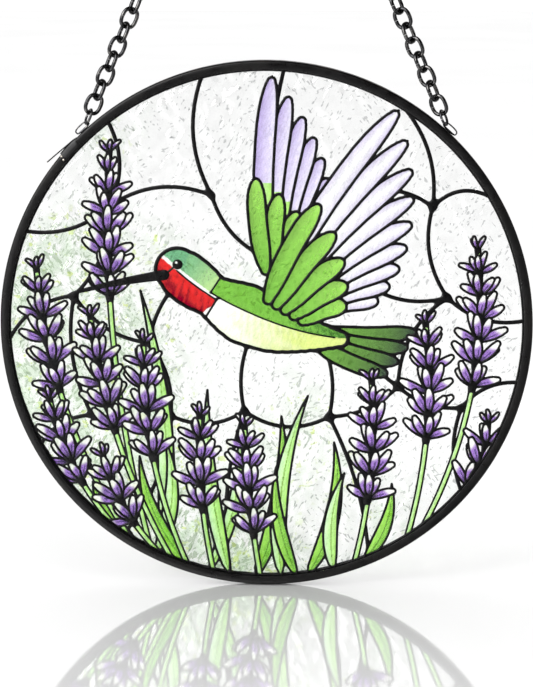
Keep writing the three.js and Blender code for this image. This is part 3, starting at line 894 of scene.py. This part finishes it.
def triangulated(levels):
    """The lines seen from the front as triangles, with each point's share of the line's height."""
    points, edges, shares = [], [], []
    for depth, share, tolerance in levels:
        for loop in contours(depth):
            loop = thinned(loop, tolerance)
            if loop is None:
                continue
            start = len(points)
            points += [Vector(p) for p in loop.tolist()]
            shares += [share] * len(loop)
            edges += [(start + k, start + (k + 1) % len(loop)) for k in range(len(loop))]
    made, _, faces, origins, _, _ = delaunay_2d_cdt(points, edges, [], 0, 1e-5, True)
    made = np.array([tuple(p) for p in made])
    faces = np.array([f for f in faces])
    faces = faces[black_at(made[faces].mean(1)) > 0]
    height = np.array([min((shares[k] for k in ids), default=levels[0][1]) for ids in origins])
    return made, faces, height


def make_lines():
    """The black lines: walls, a rounded shoulder and a flat bottom on the glass."""
    points, faces, share = triangulated(LEVELS)
    back = -GLASS_HALF
    top = np.column_stack([points[:, 0], back - LINE_HEIGHT * share, points[:, 1]])
    ground = np.column_stack([points[:, 0], np.full(len(points), back), points[:, 1]])
    directed = np.vstack([faces[:, [0, 1]], faces[:, [1, 2]], faces[:, [2, 0]]])
    known = {(a, b) for a, b in directed.tolist()}
    rim = [(a, b) for a, b in known if (b, a) not in known]
    n = len(points)
    walls = [[a, a + n, b + n, b] for a, b in rim]
    bottom = (faces[:, ::-1] + n).tolist()
    all_faces = faces.tolist() + walls + bottom
    every = np.vstack([top, ground])
    piece("leading_lines", every, all_faces, line_black(), "black_lines", crease=50, replaces=["leading"])


def make_films():
    """The transparent colours, as thin sheets on the glass under the lines."""
    every = 2  # a film's quads span this many steps of the grid
    kind = film_of[::every, ::every]
    height, n = kind.shape
    for name, wanted in (("film_bird", BIRD), ("film_flowers", FLOWER), ("film_leaves", STEM)):
        middle = film_of[every // 2 :: every, every // 2 :: every][: height - 1, : n - 1]
        rows, cols = np.nonzero(middle == wanted)
        first = rows * n + cols
        corners = np.stack([first, first + 1, first + n + 1, first + n], 1)
        used, faces = np.unique(corners, return_inverse=True)
        r, c = used // n * every, used % n * every
        points = np.column_stack([AXIS[c], np.full(len(used), -GLASS_HALF - FILM_LIFT), AXIS[r]])
        colours = linear(np.clip(tint[r, c], 0, 1))
        piece(name, points, faces.reshape(-1, 4), film(name), "clear_glass", crease=0, colours=colours)


# ---- Glass ----


def lattice_noise(x, z, seed):
    """Smooth noise from -1 to 1 with a feature about every unit."""
    table = np.random.default_rng(seed).uniform(-1, 1, (64, 64))
    i, j = np.floor(x).astype(int), np.floor(z).astype(int)
    u, v = x - i, z - j
    u, v = u * u * (3 - 2 * u), v * v * (3 - 2 * v)
    i, j, k, l = i % 64, j % 64, (i + 1) % 64, (j + 1) % 64
    return (table[i, j] * (1 - u) + table[k, j] * u) * (1 - v) + (table[i, l] * (1 - u) + table[k, l] * u) * v


# The glass's ridges: direction in degrees, width, length, and how much they weigh.
RIDGES = [(58, 2.2, 6.5, 1.0), (118, 2.6, 7.5, 0.9), (80, 1.5, 3.6, 0.5), (20, 9.0, 12.0, 0.8)]
RIPPLE_DEPTH = 0.55
NOISE_SEED = 11
NOISE_OFFSET = 300  # keeps the noise's places above zero


def ripple(x, z):
    """The pressed back of the glass, from 0 to 1: crossing ridges, longer than they are wide."""
    total = np.zeros_like(x)
    for k, (turn, width, length, amount) in enumerate(RIDGES):
        c, s = polar(turn)
        along, across = (x * c + z * s) / length, (z * c - x * s) / width
        total += amount * lattice_noise(along + NOISE_OFFSET, across + NOISE_OFFSET, NOISE_SEED + k)
    return 0.5 + 0.5 * np.tanh(total * 0.9)


def make_glass():
    """The disc: a flat front, and a back of rings of points that carry the ripples."""
    rings = 136
    radii = GLASS_RADIUS * np.arange(rings + 1) / rings
    points, faces = [(0.0, 0.0)], []
    start = [0]
    for k in range(1, rings + 1):
        start.append(len(points))
        a = np.linspace(0, 2 * math.pi, 6 * k, endpoint=False)
        points += np.column_stack([radii[k] * np.cos(a), radii[k] * np.sin(a)]).tolist()
        inner, outer = 6 * (k - 1), 6 * k
        for sector in range(6):
            for j in range(k):
                p = start[k - 1] + (((k - 1) * sector + j) % inner if inner else 0)
                a0, a1 = start[k] + k * sector + j, start[k] + (k * sector + j + 1) % outer
                faces.append((p, a0, a1))
                if j < k - 1:
                    faces.append((p, a1, start[k - 1] + ((k - 1) * sector + j + 1) % inner))
    flat = np.array(points)
    x, z = flat.T
    edge = np.clip((GLASS_RADIUS - np.hypot(x, z)) / 3, 0, 1)
    depth = GLASS_HALF - RIPPLE_DEPTH * (1 - ripple(x, z)) * edge
    back = np.column_stack([x, depth, z])
    first = start[rings]
    count = 6 * rings
    brim = flat[first:]
    front = np.column_stack([brim[:, 0], np.full(count, -GLASS_HALF), brim[:, 1]])
    n = len(back)
    walls = [[first + j, n + j, n + (j + 1) % count, first + (j + 1) % count] for j in range(count)]
    skin = [f[::-1] for f in faces] + [w[::-1] for w in walls] + [list(range(n, n + count))]
    every = np.vstack([back, front])
    piece("glass_disc", every, skin, textured_glass(), "clear_glass", crease=50, replaces=["glass_panel"])


# ---- Stage ----


def make_floor():
    """A pale glossy table top, whose mirror image fades away from the disc."""
    level = RIM_LOW.z - 0.0004
    mesh = bpy.data.meshes.new("floor")
    corners = [(x, y, level) for x, y in ((-6, -6), (6, -6), (6, 6), (-6, 6))]
    mesh.from_pydata(corners, [], [(0, 1, 2, 3)])
    p = Paint("floor_gloss", Specular_IOR_Level=0.5, Roughness=0.05)
    across = p.node("ShaderNodeSeparateXYZ", {"Vector": p.place})
    away = p.math("ABSOLUTE", across.outputs["Y"])
    pale = p.blend(p.spread(p.noise(3, 3), 0.3, 0.7), (0.97, 0.97, 0.97), (0.985, 0.985, 0.985))
    matt = p.node("ShaderNodeBsdfDiffuse", {"Color": pale})
    mirror = p.node("ShaderNodeBsdfGlossy", {"Color": pale, "Roughness": 0.05})
    fading = p.spread(away, 0.0, 0.32, 0.52, 0.3, smooth=False)
    mixed = p.node("ShaderNodeMixShader", {0: fading, 1: matt.outputs[0], 2: mirror.outputs[0]})
    p.tree.links.new(mixed.outputs[0], p.tree.nodes["Material Output"].inputs["Surface"])
    mesh.materials.append(p.material)
    floor = bpy.data.objects.new("floor", mesh)
    bpy.context.scene.collection.objects.link(floor)
    floor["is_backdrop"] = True


def aimed(made, location, target):
    made.location = location
    made.rotation_euler = (Vector(target) - Vector(location)).to_track_quat("-Z", "Y").to_euler()
    bpy.context.scene.collection.objects.link(made)


def soft_light(name, location, size, power):
    light = bpy.data.lights.new(name, "AREA")
    light.size, light.energy = size, power
    aimed(bpy.data.objects.new(name, light), location, CENTRE)


WHITE_LEVEL = 1.12
SOFT_BOX = Vector((-0.55, -0.68, 0.49)).normalized()
SOFT_BOX_LEVEL = 14.0
FLAG_LEVEL = 0.05


def make_studio():
    """An evenly white studio. Polished surfaces see it as round a product shot: a soft box at the upper
    left, dark flags, and a white backdrop."""
    world = bpy.data.worlds.new("studio")
    world.use_nodes = True
    tree = world.node_tree
    even = tree.nodes["Background"]
    even.inputs["Color"].default_value = (1, 1, 1, 1)
    even.inputs["Strength"].default_value = WHITE_LEVEL

    def node(kind, inputs, **settings):
        made = tree.nodes.new(kind)
        for key, value in settings.items():
            setattr(made, key, value)
        for key, value in inputs.items():
            if isinstance(value, bpy.types.NodeSocket):
                tree.links.new(value, made.inputs[key])
            else:
                made.inputs[key].default_value = value
        return made

    def ramp(value, low, high, to_low, to_high):
        ends = {"From Min": low, "From Max": high, "To Min": to_low, "To Max": to_high}
        made = node("ShaderNodeMapRange", {"Value": value, **ends}, interpolation_type="SMOOTHSTEP")
        return made.outputs["Result"]

    direction = tree.nodes.new("ShaderNodeTexCoord").outputs["Generated"]
    towards_box = node("ShaderNodeVectorMath", {0: direction, 1: SOFT_BOX}, operation="DOT_PRODUCT")
    box = ramp(towards_box.outputs["Value"], 0.82, 0.88, 0.0, SOFT_BOX_LEVEL)
    towards_back = node("ShaderNodeSeparateXYZ", {"Vector": direction}).outputs["Y"]
    backdrop = ramp(towards_back, 0.6, 0.92, FLAG_LEVEL, WHITE_LEVEL)
    level = node("ShaderNodeMath", {0: box, 1: backdrop}, operation="ADD").outputs[0]
    polished = node("ShaderNodeBackground", {"Strength": level})
    glossy = tree.nodes.new("ShaderNodeLightPath").outputs["Is Glossy Ray"]
    mixed = node("ShaderNodeMixShader", {0: glossy, 1: even.outputs[0], 2: polished.outputs[0]})
    tree.links.new(mixed.outputs[0], tree.nodes["World Output"].inputs["Surface"])
    bpy.context.scene.world = world
    bpy.context.scene.view_settings.view_transform = "Standard"
    soft_light("key", (-0.7, -0.75, 0.35), 0.35, 5)
    soft_light("fill", (0.9, -0.5, 0.0), 0.5, 2)


AZIMUTH, ELEVATION, DISTANCE = math.radians(2), math.radians(11), 0.8
FRAME_HEIGHT = 0.258999  # what the picture's height covers at the disc
FRAME_MIDDLE = Vector((0.0003, 0, -0.0062))  # from the disc's centre


def make_camera():
    """Square to the picture but a little above and to the right, as in the photograph."""
    level = Vector((math.sin(AZIMUTH), -math.cos(AZIMUTH), 0))
    back = level * math.cos(ELEVATION) + Vector((0, 0, math.sin(ELEVATION)))
    target = CENTRE + FRAME_MIDDLE
    camera = bpy.data.cameras.new("camera")
    camera.sensor_fit = "AUTO"
    camera.lens = camera.sensor_width / FRAME_HEIGHT * DISTANCE
    camera.clip_start, camera.clip_end = 0.01, 50
    made = bpy.data.objects.new("camera", camera)
    aimed(made, target + back * DISTANCE, target)
    bpy.context.scene.camera = made


make_camera()
make_studio()
make_floor()
make_rim()
make_hanging_parts()
make_glass()
draw_picture()
make_lines()
make_films()

bpy.context.view_layer.update()
{name: [[float(v) for v in corner] for corner in box] for name, box in (("cad", cad_bounds), ("visual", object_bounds()))}
